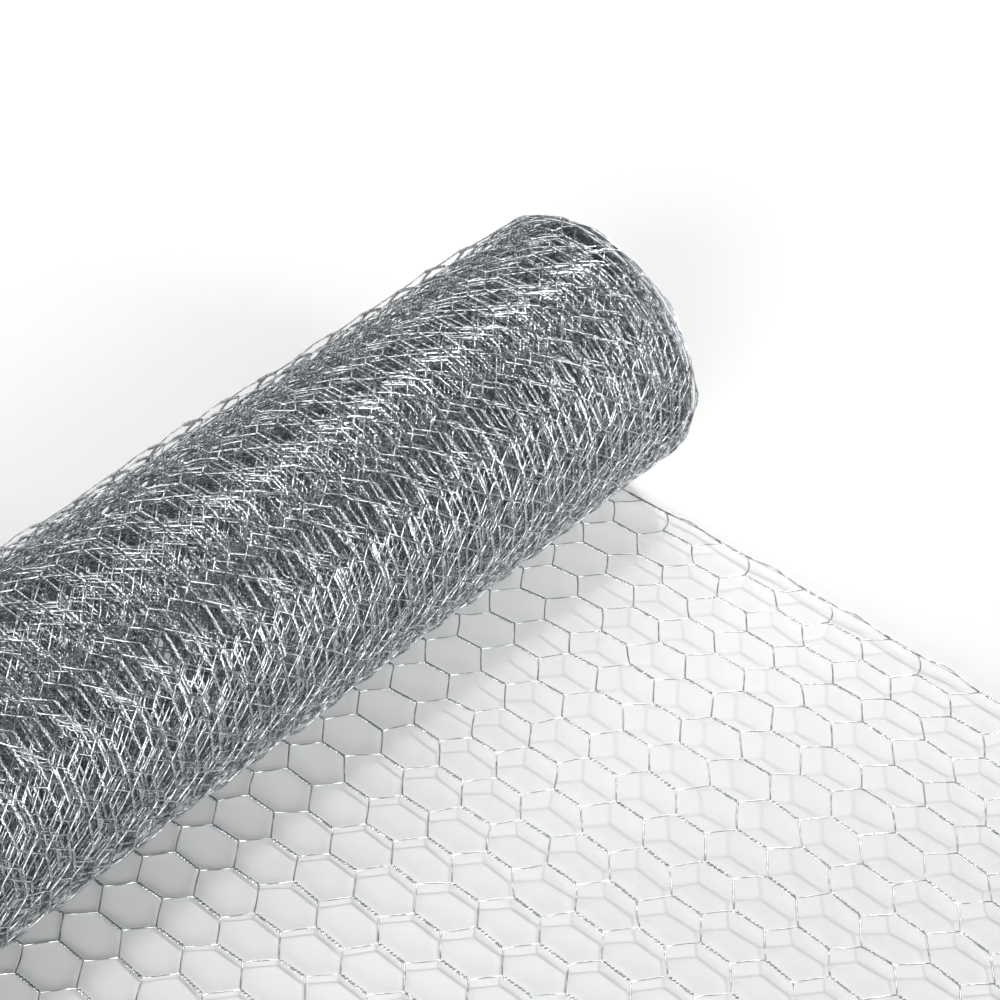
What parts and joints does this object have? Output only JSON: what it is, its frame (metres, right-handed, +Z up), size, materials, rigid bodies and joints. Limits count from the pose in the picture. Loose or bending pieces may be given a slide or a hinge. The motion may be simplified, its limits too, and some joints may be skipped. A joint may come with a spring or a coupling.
{
  "type": "roll of hexagonal wire netting",
  "caption": "Roll of galvanised hexagonal wire netting lying on its side, with its loose end drawn out along the floor.",
  "frame": {"origin": "on the floor, under the middle of the whole object", "axes": "+Z up, +Y along the roll's axis, +X from the roll towards the loose end"},
  "size_m": [0.5385, 0.6256, 0.157],
  "materials": {
    "galvanised_netting": "hot-dip galvanised steel wire, dull to bright zinc"
  },
  "bodies": {
    "root": {"wound_roll": "galvanised_netting", "loose_end_1": "galvanised_netting", "loose_end_2": "galvanised_netting", "loose_end_3": "galvanised_netting", "loose_end_4": "galvanised_netting"}
  },
  "joints": []
}
